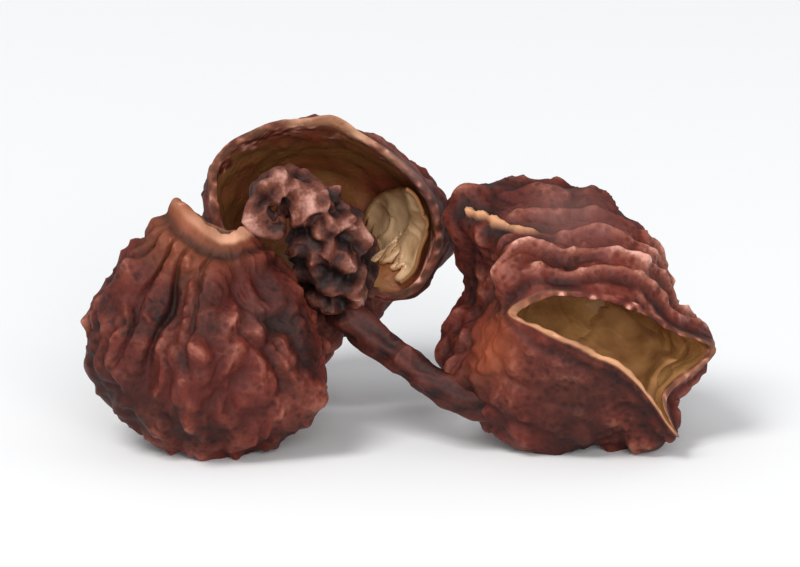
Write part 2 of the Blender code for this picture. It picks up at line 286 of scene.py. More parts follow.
def pepperSkin(name, tones):
    attributes = ("relief", "inside", "tan", "warm", "dusk", "dark")
    material, tree, shader, place, at = newMaterial(name, attributes)
    dots = addNode(tree, "ShaderNodeTexNoise",
                   {"Scale": patternScale(tones["oilDot"]), "Detail": 4.0}, {"Vector": place})
    mottle = addNode(tree, "ShaderNodeTexNoise",
                     {"Scale": patternScale(tones["mottle"]), "Detail": 3.0}, {"Vector": place})
    glands = addNode(tree, "ShaderNodeTexVoronoi", {"Scale": patternScale(tones["gland"])}, {"Vector": place})
    pit = addNode(tree, "ShaderNodeMapRange",
                  {"From Max": 0.45, "To Min": -0.24, "To Max": 0.04}, {"Value": glands.outputs["Distance"]})
    grain = addNode(tree, "ShaderNodeMath", {"operation": "MULTIPLY_ADD", 1: tones["grain"]},
                    {0: dots.outputs["Fac"], 2: pit.outputs[0]})
    raised = addNode(tree, "ShaderNodeMath", {"operation": "ADD"}, {0: at["relief"], 1: grain.outputs[0]})
    height = addNode(tree, "ShaderNodeMath",
                     {"operation": "SUBTRACT", 1: tones["deepened"], "use_clamp": True},
                     {0: raised.outputs[0]})
    # the ramp paints light and shade: crevice and low are painted shade, high and tip are painted highlight on
    # the tops
    stops = ((0.0, tones["crevice"]), (1.0, tones["tip"]), (0.25, tones["low"]), (0.5, tones["mid"]),
             (0.78, tones["high"]))
    ramp = addNode(tree, "ShaderNodeValToRGB", {"stops": stops}, {"Fac": height.outputs[0]})
    patchy = addNode(tree, "ShaderNodeMapRange", {"From Min": 0.42, "From Max": 0.68, "To Max": 0.4},
                     {"Value": mottle.outputs["Fac"]})
    colour = mixed(tree, ramp.outputs["Color"], tones["red"], patchy.outputs[0])
    # the warm patches are a tone of the skin's own, the pinkish-grey ones a painted sheen and the dark ones
    # painted shade
    for key, most in tones["most"].items():
        share = addNode(tree, "ShaderNodeMath", {"operation": "MULTIPLY", 1: most}, {0: at[key]})
        colour = mixed(tree, colour, tones[key], share.outputs[0])
    olive = addNode(tree, "ShaderNodeMapRange", {"From Min": 0.3, "From Max": 0.65},
                    {"Value": mottle.outputs["Fac"]})
    insideColour = mixed(tree, tones["insideDark"], tones["insideGold"], olive.outputs[0])
    colour = mixed(tree, colour, insideColour, at["inside"])
    colour = mixed(tree, colour, tones["tan"], at["tan"])
    rough = addNode(tree, "ShaderNodeMapRange", {"From Min": 0.2, "To Min": 0.66, "To Max": 0.4},
                    {"Value": height.outputs[0]})
    bump = addNode(tree, "ShaderNodeBump", {"Strength": 0.8, "Distance": 0.04 * mm},
                   {"Height": grain.outputs[0]})
    tree.links.new(colour, shader.inputs["Base Color"])
    tree.links.new(rough.outputs[0], shader.inputs["Roughness"])
    tree.links.new(bump.outputs[0], shader.inputs["Normal"])
    shader.inputs["Specular IOR Level"].default_value = 0.25
    return material


# What the three husks share. Sizes, spacings, wavelengths and heights are in mm. Fades and the crease's place
# are steps down the wall: 0 is the rim, 1 the belly and 2 the closed end.
relief = {
    "rowsOut": 168, "rowsLip": 8, "rowsIn": 62, "columns": 380, "outEnd": 1.99, "inEnd": 1.985,
    "wall": 0.34, "reach": 0.42, "crowding": 0.8, "rounding": 1.2, "bend": 0.06, "bendWave": 0.7,
    "wartTries": 3000, "wartSpacing": 0.5, "wartSizes": (0.7, 1.25), "wartHeight": 0.185, "lipFade": 0.25,
    "blisterTries": 9000, "blisterSpacing": 0.26, "blisterSizes": (0.6, 1.2), "blisterHeight": 0.085,
    "blisterStretch": 1.2, "bareBlisters": 0.35,
    "wrinkle": 0.4, "wrinkleHeight": 0.03, "wrinkleLevel": 0.4, "wrinkleFade": 0.12,
    "hollow": 1.1, "hollowHeight": 0.03,
    "foldFade": 0.5, "foldStart": 0.15, "foldBendWave": 1.3,
    "creaseDown": 0.1, "creaseWander": 0.015, "creaseWidth": 0.035, "creaseDepth": 0.05,
    "softWave": 0.5, "softHeight": 0.02, "softRidge": 0.7, "softRidgeHeight": 0.03, "softFade": 0.3,
    "lipWave": 0.3,
}

# How light the skin is painted: a base, and what each relief adds to it or takes away. Lighter wart, blister
# and wrinkle tops are painted highlight, the darker skin between warts and in the crease is painted shade, and
# the hollows are a random tone of the skin's own
skinToneAndPaintedLight = {
    "base": 0.08, "wart": 0.55, "between": 0.18, "bare": 0.2, "blister": 0.3, "wrinkle": 0.08, "hollow": 0.05,
    "crease": 0.4,
}

# The nicks in a torn rim, as waves round the mouth, and how far down the wall they are felt
nicks = {
    "slow": 9.0, "cross": 4.0, "short": 17.0, "shortShare": 0.15, "drift": 3.0, "driftCount": 5.0, "reach": 0.6,
}

# How the tan on the rim and the skin wrapped over it are broken up, and the tones of the lip and the inside
rimLook = {
    "tanEven": 0.7975, "tanPatchy": 0.2025, "tanPatch": 0.6, "crestTan": 0.95,
    "wrapEven": 0.7, "wrapRagged": 0.3, "wrapPatch": 0.5, "wrapEdge": (-0.02, 0.04),
    "wrapMottle": 0.25, "wrapSpot": 0.16, "wrapDark": 0.1, "insideTone": 0.5, "softTone": 10.0,
    "lipTone": 0.38, "lipMottle": 0.25, "lipSpot": 0.2, "lipRange": (0.1, 1.0),
}


def scattered(husk, tries, spacing, draw):
    # places on the smooth wall, denser towards the mouth, no two closer than the spacing
    down = 2.0 * draw.uniform(0.0, 1.0, tries) ** relief["crowding"]
    places = wallPoint(husk, down, draw.uniform(0.0, tau, tries))
    return places[spaced(places, spacing)]


def longFolds(husk, points, down, turn):
    # folds exp(-(sin(phase / 2) / sharp)^2), and the window of the wall that they fill, fading at its edges
    folds = husk["longFolds"]
    apart = np.abs(np.mod(turn - folds["middle"] + np.pi, tau) - np.pi)
    window = smoothStep(folds["half"] - apart, 0.0, relief["foldFade"])
    window = window * smoothStep(down, folds["from"], folds["from"] + relief["foldStart"])
    window = window * smoothStep(folds["to"] - down, 0.0, relief["foldFade"])
    wander = folds["bend"] * waves(points, relief["foldBendWave"], husk["seed"] + 5)
    phase = folds["across"] * turn + folds["along"] * down + wander
    return window * np.exp(-(np.sin(phase / 2.0) / folds["sharp"]) ** 2), window


def skinHeight(husk, points, down, turn):
    # how far the skin stands out, in mm, how light it is painted as highlight and shade, and the crease below
    # its lip
    seed, folds = husk["seed"], husk["longFolds"]
    draw = np.random.default_rng(seed)
    way = np.gradient(points, axis=0) if husk["grain"] == "down" else aroundWay(points)
    way = way / np.maximum(np.linalg.norm(way, axis=-1, keepdims=True), 1e-9)
    wander = np.stack([waves(points, relief["bendWave"], seed + k) for k in (1, 2, 3)], axis=-1)
    bent = points + relief["bend"] * wander
    places = scattered(husk, relief["wartTries"], relief["wartSpacing"], draw)
    sizes = draw.uniform(*relief["wartSizes"], len(places))
    wart = domes(bent, way, places, sizes, relief["wartSpacing"], husk["stretch"])
    wart = np.tanh(relief["rounding"] * wart)
    places = scattered(husk, relief["blisterTries"], relief["blisterSpacing"], draw)
    sizes = draw.uniform(*relief["blisterSizes"], len(places))
    blister = domes(bent, way, places, sizes, relief["blisterSpacing"], relief["blisterStretch"])
    blister = np.tanh(relief["rounding"] * blister)
    wrinkle = ridged(points, relief["wrinkle"], seed + 4)
    hollow = waves(points, relief["hollow"], seed + 6)
    fold, window = longFolds(husk, points, down, turn)

    *patch, sink = husk["bare"]
    worn = 1.0 - sink * zone(points, patch)
    cover = worn * (1.0 - folds["calm"] * window)
    blisterCover = relief["bareBlisters"] + (1.0 - relief["bareBlisters"]) * worn
    height = smoothStep(down, 0.0, relief["lipFade"]) * (
        relief["wartHeight"] * wart * cover + relief["hollowHeight"] * hollow * worn
        + relief["blisterHeight"] * blister * blisterCover + folds["height"] * fold)
    wrinkleFade = smoothStep(down, 0.0, relief["wrinkleFade"])
    height = height + relief["wrinkleHeight"] * (wrinkle - relief["wrinkleLevel"]) * wrinkleFade
    fromCrease = down - relief["creaseDown"] - relief["creaseWander"] * hollow
    crease = husk["crease"] * np.exp(-np.square(fromCrease / relief["creaseWidth"]))
    height = height - relief["creaseDepth"] * crease
    # painted light: lighter tops as painted highlight; darker skin between warts, in the crease and in the left
    # husk's pleat grooves as painted shade; lighter fold ridges on the other husks as painted highlight
    tone = (skinToneAndPaintedLight["base"] + cover * (skinToneAndPaintedLight["wart"] * wart - skinToneAndPaintedLight["between"])
            + skinToneAndPaintedLight["bare"] * (1.0 - cover) + skinToneAndPaintedLight["blister"] * blister
            + skinToneAndPaintedLight["wrinkle"] * wrinkle + skinToneAndPaintedLight["hollow"] * hollow
            + folds["tone"] * fold - skinToneAndPaintedLight["crease"] * crease)
    return height, tone, crease


def nickedDown(husk, steps, turn):
    # the rows' places down the wall, each pushed down by the rim's nicks: slow ones, with short ones between
    slow = np.sin(nicks["slow"] * turn + husk["seed"]) * np.sin(nicks["cross"] * turn + 2.0 * husk["seed"])
    short = np.sin(nicks["short"] * turn + nicks["drift"] * np.sin(nicks["driftCount"] * turn)) ** 2
    nick = husk["nick"] * (0.5 + 0.5 * slow + nicks["shortShare"] * short)
    return steps + nick * (1.0 - smoothStep(steps, 0.0, nicks["reach"]))


def crestOn(husk, points):
    # a narrow crest along a line on the skin, tapering to its ends, and the band beside it that it clears
    crest = husk["crest"]
    width = crest["width"]
    path = wallPoint(husk, np.array(crest["down"]), np.array(crest["turn"]))
    fromLine = lineDistance(points, path)
    taper = smoothStep(points[..., 0] - path[0, 0], *crest["startFade"])
    taper = taper * smoothStep(path[-1, 0] - points[..., 0], *crest["endFade"])
    ragged = 1.0 + crest["ragged"] * waves(points, crest["raggedWave"], husk["seed"] + 14)
    on = smoothStep(width * taper * ragged - fromLine, 0.0, crest["edge"] * width)
    beside = smoothStep(crest["clearedReach"] * width - fromLine, 0.0, crest["clearedFade"] * width)
    return on, beside


def lipRows(husk, smooth, first, last):
    # the lip is a half circle from the outer edge to the inner one, bulging away from the cup
    share = np.linspace(0.0, np.pi, relief["rowsLip"] + 2)[1:-1, None, None]
    away = smooth[-1] - smooth[-4]  # the way the wall runs over its last three rows
    away = (away / np.linalg.norm(away, axis=-1, keepdims=True))[None]
    half = np.linalg.norm(last - first, axis=-1, keepdims=True) / 2.0
    lip = (first + last) / 2.0 + (first - last) / 2.0 * np.cos(share) + away * half * np.sin(share)
    uneven = husk["lipWave"] * waves(lip, relief["lipWave"], husk["seed"] + 13)
    return lip + away * uneven[..., None] * np.sin(share)


def huskMesh(name, husk):
    # one closed grid: up the outside from the closed end, over the rounded lip and down the inside
    seed, middle = husk["seed"], np.mean(husk["belly"], axis=0)
    turn = np.linspace(0.0, tau, relief["columns"], endpoint=False)[None, :]
    outSteps = np.linspace(relief["outEnd"], 0.0, relief["rowsOut"])[:, None]
    outTurn = turn + 0.0 * outSteps
    smooth = wallPoint(husk, nickedDown(husk, outSteps, turn), outTurn)
    height, tone, crease = skinHeight(husk, smooth, outSteps + 0.0 * turn, outTurn)
    crest = np.zeros_like(tone)
    if husk["crest"]:
        crest, beside = crestOn(husk, smooth)
        height = height * (1.0 - husk["crest"]["flattened"] * beside) + husk["crest"]["height"] * crest
        tone = tone - husk["crest"]["darkened"] * beside * (1.0 - crest)
    outer = smooth + gridNormals(smooth, True, middle) * height[..., None]

    inSteps = np.linspace(0.0, relief["inEnd"], relief["rowsIn"])[:, None]
    cup = innerHusk(husk, relief["wall"], husk["lip"])
    inner = wallPoint(cup, nickedDown(husk, inSteps, turn), turn + 0.0 * inSteps)
    soft = (relief["softHeight"] * waves(inner, relief["softWave"], seed + 7)
            + relief["softRidgeHeight"] * ridged(inner, relief["softRidge"], seed + 8))
    lift = soft * smoothStep(inSteps, 0.0, relief["softFade"])
    inner = inner - gridNormals(inner, True, middle) * lift[..., None]
    lip = lipRows(husk, smooth, outer[-1][None], inner[0][None])
    grid = np.concatenate([outer, lip, inner])
    grid[..., 2] = np.maximum(grid[..., 2], tableCut)

    rim = husk["rimTan"]
    around = spline(np.array(rim["around"])[:, None], turn[0] / tau * len(rim["around"]), True)[:, 0]
    outTan = np.exp(-(outSteps / rim["outside"]) ** 2) + 0.0 * turn
    inTan = np.exp(-(inSteps / rim["inside"]) ** 2) + 0.0 * turn
    tan = np.concatenate([outTan, np.ones(lip.shape[:2]), inTan]) * around
    patchy = rimLook["tanEven"] + rimLook["tanPatchy"] * waves(grid, rimLook["tanPatch"], seed + 9)
    tan = np.clip(tan * patchy, 0.0, 1.0)
    tan[:len(outer)] = np.maximum(tan[:len(outer)], rimLook["crestTan"] * crest)
    ragged = rimLook["wrapEven"] + rimLook["wrapRagged"] * waves(inner, rimLook["wrapPatch"], seed + 10)
    bared = smoothStep(inSteps - rim["skinOver"] * ragged, *rimLook["wrapEdge"])
    wrapTone = rimLook["wrapMottle"] * waves(inner, rimLook["wrapSpot"], seed + 11) - rimLook["wrapDark"]
    # where skin wraps over the lip, softTone paints its soft ridges lighter: a painted highlight
    inTone = rimLook["insideTone"] + rimLook["softTone"] * soft + wrapTone * (1.0 - bared)
    lipTone = rimLook["lipTone"] + rimLook["lipMottle"] * waves(lip, rimLook["lipSpot"], seed + 12)
    values = {
        "relief": np.concatenate([tone, np.clip(lipTone, *rimLook["lipRange"]), inTone]),
        "inside": np.concatenate([np.zeros(outer.shape[:2]), np.zeros(lip.shape[:2]), bared]),
        "tan": tan,
    }
    # round patches: warm is a tone of the skin's own, the pinkish-grey one a painted sheen, dark is painted
    # shade
    for key in ("warm", "dusk", "dark"):
        values[key] = np.clip(sum(zone(grid, patch) for patch in husk[key]), 0.0, 1.0)
    # the crease below the lip is painted dark as well: a painted shadow under the lip
    values["dark"][:len(outer)] = np.maximum(values["dark"][:len(outer)], crease)
    return buildMesh(name, gridPart(grid, values))


# The left husk stands on its closed end, mouth up, with pleats running down from its neck
huskLeft = {
    "rim": (
        (-3.5, 0.25, 4.0), (-3.15, -0.1, 3.74), (-2.75, -0.2, 3.46), (-2.45, -0.05, 3.48),
        (-2.25, 0.4, 3.45), (-2.35, 1.0, 3.25), (-2.8, 1.35, 3.2), (-3.3, 1.0, 3.6),
    ),
    "belly": (
        (-4.78, 0.25, 1.72), (-4.25, -0.81, 1.66), (-2.98, -1.25, 1.52), (-1.71, -0.81, 1.38),
        (-1.18, 0.25, 1.32), (-1.71, 1.31, 1.38), (-2.98, 1.75, 1.52), (-4.25, 1.31, 1.66),
    ),
    "end": (-2.95, 0.2, 0.08),
    "flare": (0.1, 0.2, 0.25, 0.1, 0.0, 0.2, 0.3, 0.2),
    "round": 1.0, "point": 1.0, "folds": 0.1, "pulls": (), "seed": 11,
    "bare": (-3.9, -0.9, 2.4, 1.0, 0.5), "grain": "down", "stretch": 1.45,
    "longFolds": {
        "height": -0.14, "tone": -0.4, "sharp": 0.33, "across": 17.0, "along": 0.5, "middle": 0.6,
        "half": 1.15, "from": 0.06, "to": 1.25, "bend": 1.5, "calm": 0.3,
    },
    "crest": None, "lip": 0.19, "lipWave": 0.01, "nick": 0.01, "crease": 1.0,
    "rimTan": {
        "outside": 0.02, "inside": 0.04, "skinOver": 0.02, "around": (0.3, 0.5, 0.9, 1.0, 0.7, 0.5, 0.4, 0.3),
    },
    # patches: warm is the skin's own tone, the pinkish-grey one a painted sheen, the dark one painted shade low
    # down at the left
    "warm": ((-3.1, 0.0, 3.9, 1.5),),
    "dusk": ((-2.0, -1.0, 2.6, 0.6),),
    "dark": ((-4.4, -0.8, 0.9, 1.4),),
}
leftTones = dict(skinTones, tan="#c48f72")
addPiece("leftHusk", huskMesh("leftHusk", huskLeft),
         pepperSkin("driedPepperSkinLeft", leftTones), "husk_left")

# The middle husk is a cup behind the other pieces, mouth forwards
huskMiddle = {
    "rim": (
        (-2.95, 1.85, 4.1), (-2.6, 2.0, 2.6), (-1.1, 2.15, 2.25), (0.15, 2.2, 1.98),
        (0.68, 2.0, 3.0), (0.3, 1.75, 4.0), (-0.95, 1.5, 4.95), (-2.2, 1.6, 4.85),
    ),
    "belly": (
        (-3.05, 3.4, 2.25), (-2.57, 2.55, 1.57), (-1.4, 2.3, 1.5), (-0.35, 2.6, 2.0),
        (0.25, 3.4, 2.45), (-0.23, 4.25, 3.13), (-1.4, 4.6, 3.35), (-2.57, 4.25, 2.99),
    ),
    "end": (-2.3, 4.0, 0.05),
    "flare": (0.2, 0.5, 0.5, 0.5, 0.5, 0.6, 0.15, 0.1),
    "round": 0.9, "point": 2.6, "folds": 0.07, "pulls": ((-0.95, 1.5, 4.95, 0.5, 0.0, -0.02, 0.1),),
    "bare": (-0.25, 2.5, 1.9, 0.9, 1.0), "grain": "around", "stretch": 1.5, "seed": 23,
    "longFolds": {
        "height": 0.1, "tone": 0.3, "sharp": 0.45, "across": 2.0, "along": 26.0, "middle": 4.4,
        "half": 1.1, "from": 0.02, "to": 0.7, "bend": 0.8, "calm": 0.5,
    },
    "crest": None, "lip": 0.13, "lipWave": 0.03, "nick": 0.03, "crease": 0.4,
    "rimTan": {
        "outside": 0.02, "inside": 0.02, "skinOver": 0.16, "around": (0.2, 0.1, 0.1, 0.1, 0.1, 0.1, 1.0, 0.3),
    },
    # patches: warm is the skin's own tone, the pinkish-grey one a painted sheen on the rim, the dark one
    # painted shade round the closed end, low at the back
    "warm": ((-1.0, 1.5, 4.8, 0.6),),
    "dusk": ((0.3, 1.8, 4.0, 1.1),),
    "dark": ((-2.3, 4.0, 0.5, 1.3),),
}
middleTones = dict(skinTones, tan="#b98a6c", insideDark="#86402b", insideGold="#80572f")
addPiece("middleHusk", huskMesh("middleHusk", huskMiddle),
         pepperSkin("driedPepperSkinMiddle", middleTones), "husk_middle")

# The right husk gapes forwards and to the right, with a ridged upper wall and a smoother lower one that ends
# in a beak. A tan crest runs along its top.
huskRight = {
    "rim": (
        (1.7, -0.55, 2.42), (2.1, -0.95, 2.27), (2.9, -1.2, 1.97), (3.6, -1.1, 1.5),
        (4.3, -0.72, 0.47), (4.15, -0.05, 0.92), (4.92, 0.5, 1.52), (4.3, 0.0, 2.0),
        (3.5, -0.5, 2.59), (2.35, -0.65, 2.77),
    ),
    "belly": (
        (1.1, 0.3, 2.1), (0.95, 0.1, 1.0), (1.65, 0.1, 0.4), (2.9, 0.2, 0.15),
        (3.7, 0.8, 0.4), (4.15, 1.5, 0.95), (4.45, 1.7, 1.6), (3.95, 1.5, 2.45),
        (3.2, 1.2, 3.65), (1.1, 0.9, 3.5),
    ),
    "end": (2.1, 2.5, 2.4),
    "flare": (0.6, 0.6, 0.6, 0.4, 0.2, 0.1, 0.0, 0.1, 0.4, 0.6),
    "round": 1.0, "point": 1.0, "folds": 0.07, "pulls": ((1.0, 0.4, 2.75, 1.1, 0.6, 0.0, 0.0),), "seed": 37,
    "bare": (2.75, -0.8, 1.5, 1.75, 0.9), "grain": "around", "stretch": 1.6,
    "longFolds": {
        "height": 0.12, "tone": 0.42, "sharp": 0.5, "across": 1.5, "along": 26.0, "middle": 4.8,
        "half": 1.2, "from": 0.02, "to": 1.2, "bend": 1.1, "calm": 0.45,
    },
    "crest": {
        "down": (0.99, 0.94, 0.82, 0.72, 0.67, 0.64), "turn": (5.63, 5.61, 5.56, 5.52, 5.45, 5.38),
        "width": 0.085, "height": 0.12, "edge": 0.6, "ragged": 0.25, "raggedWave": 0.3,
        "startFade": (-0.15, 0.05), "endFade": (-0.1, 0.5),
        "clearedReach": 3.5, "clearedFade": 2.5, "flattened": 0.85, "darkened": 0.35,
    },
    "lip": 0.12, "lipWave": 0.015, "nick": 0.02, "crease": 0.6,
    "rimTan": {
        "outside": 0.01, "inside": 0.02, "skinOver": 0.03,
        "around": (0.4, 0.8, 1.0, 0.9, 0.7, 0.4, 0.3, 0.1, 0.0, 0.1),
    },
    # patches: warm is the skin's own tone, the pinkish-grey one a painted sheen on the top, the dark ones
    # painted shade low down by the table
    "warm": ((1.35, -0.6, 1.9, 0.9),),
    "dusk": ((2.7, 0.6, 4.0, 1.3),),
    "dark": ((2.0, 1.0, 0.2, 1.2), (2.7, -0.6, 0.0, 1.0), (2.6, -1.35, 1.0, 1.45)),
}
rightTones = dict(skinTones, warm="#a5502f", tan="#c68f68", insideDark="#84562e", insideGold="#c29058")
addPiece("rightHusk", huskMesh("rightHusk", huskRight),
         pepperSkin("driedPepperSkinRight", rightTones), "husk_right")


# The lining is dry endocarp: papery and slightly glossy, in two tones that drift across it, torn at its edges
liningTones = {"dark": "#9a6f48", "light": "#e0bb90", "edge": "#8a5c34", "fibre": 0.12, "blotch": 0.45}

# What the two linings share: the teeth of the torn edge, the slits in the notch, the uneven side, the
# crumpling in mm, and how much of the sheet its edges take up
scrap = {
    "teeth": 23.0, "teethDrift": 5.0, "driftCount": 7.0, "fineTeeth": 71.0, "fineShare": 0.15,
    "notchFade": (0.1, 0.45), "notchEven": 0.65, "notchSlit": 0.35, "slits": 31.0,
    "sideCount": 17.0, "sideShare": 0.02, "crumpleWave": 0.55, "crumpleShare": 0.5, "crumpleRidge": 0.7,
    "sunkEdge": 0.12, "paintedEdge": 0.03,
}


def paperyLining(name, tones):
    material, tree, shader, place, at = newMaterial(name, ("edge",))
    blotch = addNode(tree, "ShaderNodeTexNoise",
                     {"Scale": patternScale(tones["blotch"]), "Detail": 4.0}, {"Vector": place})
    fibre = addNode(tree, "ShaderNodeTexNoise",
                    {"Scale": patternScale(tones["fibre"]), "Detail": 5.0}, {"Vector": place})
    stops = ((0.3, tones["dark"]), (0.7, tones["light"]))
    colour = addNode(tree, "ShaderNodeValToRGB", {"stops": stops}, {"Fac": blotch.outputs["Fac"]})
    colour = mixed(tree, colour.outputs["Color"], tones["edge"], at["edge"])
    bump = addNode(tree, "ShaderNodeBump", {"Strength": 0.5, "Distance": 0.02 * mm},
                   {"Height": fibre.outputs["Fac"]})
    tree.links.new(colour, shader.inputs["Base Color"])
    tree.links.new(bump.outputs[0], shader.inputs["Normal"])
    shader.inputs["Roughness"].default_value = 0.48
    return material


def liningMesh(name, lining):
    # a sheet that follows its husk's inner wall: down the cup by one parameter and round it by the other
    husk = innerHusk(lining["husk"], relief["wall"] + lining["gap"], lining["husk"]["lip"] + lining["gap"])
    u, v = np.meshgrid(np.linspace(0.0, 1.0, lining["rows"]), np.linspace(0.0, 1.0, lining["columns"]),
                       indexing="ij")
    teeth = np.sin(scrap["teeth"] * v + scrap["teethDrift"] * np.sin(scrap["driftCount"] * v))
    torn = lining["tear"] * (teeth + scrap["fineShare"] * np.sin(scrap["fineTeeth"] * v))
    low, high = lining["down"]
    down = low + (high + torn - low) * u
    slit = scrap["notchEven"] + scrap["notchSlit"] * np.sin(scrap["slits"] * u)
    notch = lining["notch"] * smoothStep(u, *scrap["notchFade"]) * slit
    uneven = scrap["sideShare"] * np.sin(scrap["sideCount"] * u) * np.sin(np.pi * v)
    first, last = lining["turn"]
    turn = first + notch * (1.0 - v) ** 2 + (last - first) * (v + uneven)
    sheet = wallPoint(husk, down, turn)
    normal = gridNormals(sheet, False, np.mean(husk["belly"], axis=0))
    crumple = (scrap["crumpleShare"] * waves(sheet, scrap["crumpleWave"], lining["seed"])
               + ridged(sheet, scrap["crumpleRidge"], lining["seed"] + 1))
    edge = np.minimum(np.minimum(u, 1.0 - u), np.minimum(v, 1.0 - v))
    # a lining that still clings to its husk sinks into the wall along its edges
    sunk = lining["sunk"] * (1.0 - smoothStep(edge, 0.0, scrap["sunkEdge"]))
    sheet = sheet + normal * (sunk - lining["crumple"] * crumple)[..., None]
    painted = np.exp(-(edge / scrap["paintedEdge"]) ** 2)
    return buildMesh(name, gridPart(sheet, {"edge": painted}, closed=False, caps=False))


def addLining(name, lining, node, tones):
    material = paperyLining("dryEndocarp" + lining["side"], tones)
    piece = addPiece(name, liningMesh(name, lining), material, node)
    wall = piece.modifiers.new("paperWall", "SOLIDIFY")
    wall.thickness, wall.offset = lining["wall"] * mm, 0.0


# The middle lining is a torn scrap, and the right one clings to the wall beside the beak
liningMiddle = {
    "husk": huskMiddle, "side": "Middle", "down": (0.08, 1.1), "turn": (2.42, 3.85), "tear": 0.08,
    "notch": 0.55, "gap": 0.13, "wall": 0.06, "rows": 70, "columns": 90, "crumple": 0.05, "sunk": 0.0,
    "seed": 61,
}
liningRight = {
    "husk": huskRight, "side": "Right", "down": (0.45, 1.6), "turn": (2.2, 3.6), "tear": 0.015, "notch": 0.0,
    "gap": 0.07, "wall": 0.06, "rows": 90, "columns": 150, "crumple": 0.012, "sunk": 0.14, "seed": 71,
}
rightLiningTones = dict(liningTones, dark="#8c5c34", light="#c8945c", edge="#8c5c34")
addLining("middleLining", liningMiddle, "lining_middle", liningTones)
addLining("rightLining", liningRight, "lining_right", rightLiningTones)


# What the stalk and the small carpel share: over how many rows their thickness is evened out, how thin their
# ends become, how their furrows and wrinkles wander, their warts, and the light and dark along them
grown = {
    "evenRows": 13, "endThickness": 0.002, "furrowWander": 1.5, "furrowWave": 1.5, "furrowTwist": 0.6,
    "lumpBend": 0.04, "wartStep": 3, "wartSizes": (0.6, 1.3), "wartStretch": 1.5,
    "furrowTone": 0.08, "lumpTone": 0.08, "footFade": (0.1, 0.6),
}


def evened(thick):
    # a running mean down the rows, with the end values repeated past the ends
    count = grown["evenRows"]
    padded = np.pad(thick[:, 0], count // 2, "edge")
    return np.convolve(padded, np.ones(count) / count, "valid")[:, None]


def tubePart(tube):
    # a round section carried along a spline: its radius follows the stations, its ends close in a half circle
    places = [place for place, thick in tube["stations"]]
    count = len(places) - 1
    along = np.linspace(0.0, count, tube["rows"])[:, None]
    angle = np.linspace(0.0, tau, tube["columns"], endpoint=False)[None, :]
    line = spline(places, along[:, 0], False)
    thick = np.interp(along, np.arange(count + 1), [thick for place, thick in tube["stations"]])
    ends = np.minimum(along, count - along) / tube["roundEnd"]
    rounded = np.sqrt(1.0 - np.square(1.0 - np.clip(ends, grown["endThickness"], 1.0)))
    thick = evened(thick * tube["radius"]) * rounded
    tangent = np.gradient(line, axis=0)
    tangent /= np.linalg.norm(tangent, axis=-1, keepdims=True)
    side = np.cross(tangent, tube["reference"])
    side /= np.linalg.norm(side, axis=-1, keepdims=True)
    other = np.cross(tangent, side)
    out = np.cos(angle)[..., None] * side[:, None] + np.sin(angle)[..., None] * other[:, None]
    grid = line[:, None] + thick[..., None] * out
    wander = grown["furrowWander"] * waves(grid, grown["furrowWave"], tube["seed"])
    furrow = np.sin(tube["furrows"] * angle + wander + grown["furrowTwist"] * along)
    lump = waves(grid, tube["lump"], tube["seed"] + 1)
    # the wrinkles are longer lengthwise: their field is read at the squeezed length and the place round it
    length = np.cumsum(np.linalg.norm(np.gradient(line, axis=0), axis=-1))[:, None] + 0.0 * angle
    unrolled = np.stack([length / tube["wrinkleStretch"], thick * np.cos(angle), thick * np.sin(angle)],
                        axis=-1)
    bend = grown["lumpBend"] * lump[..., None]
    wrinkle = ridged(unrolled + bend, tube["wrinkle"], tube["seed"] + 3)
    wart = np.zeros(grid.shape[:2])
    if tube["wartSpacing"]:
        draw = np.random.default_rng(tube["seed"])
        step = grown["wartStep"]
        places = draw.permutation(grid[::step, ::step].reshape(-1, 3))
        places = places[spaced(places, tube["wartSpacing"])]
        sizes = draw.uniform(*grown["wartSizes"], len(places))
        way = tangent[:, None] + 0.0 * out
        wart = domes(grid + bend, way, places, sizes, tube["wartSpacing"], grown["wartStretch"])
    height = (tube["furrowHeight"] * furrow + tube["lumpHeight"] * lump + tube["wrinkleHeight"] * wrinkle
              + tube["wartHeight"] * wart)
    grid = grid + out * (height * np.clip(ends, 0.0, 1.0))[..., None]
    # the tone paints light and shade from the relief: raised furrow edges, lumps, wrinkles and warts lighter as
    # painted highlight, furrows darker as painted shade
    tone = tube["tone"] + grown["furrowTone"] * furrow + grown["lumpTone"] * lump
    tone = tone + tube["wrinkleTone"] * wrinkle + tube["wartTone"] * wart
    tone = tone - tube["darkFoot"] * (1.0 - smoothStep(along / count, *grown["footFade"]))
    return gridPart(grid, {"relief": np.clip(tone, 0.0, 1.0)})


# Dried stalk bark is matt and finely furrowed, dark red-brown; its colour follows the relief, lighter on the
# edges of its furrows as painted highlight and darker in them as painted shade
barkTones = {
    "crevice": "#170807", "low": "#3a150f", "mid": "#52231a", "tip": "#86503f", "fibre": 0.07,
    "grain": 0.5, "grainMiddle": -0.25,
}


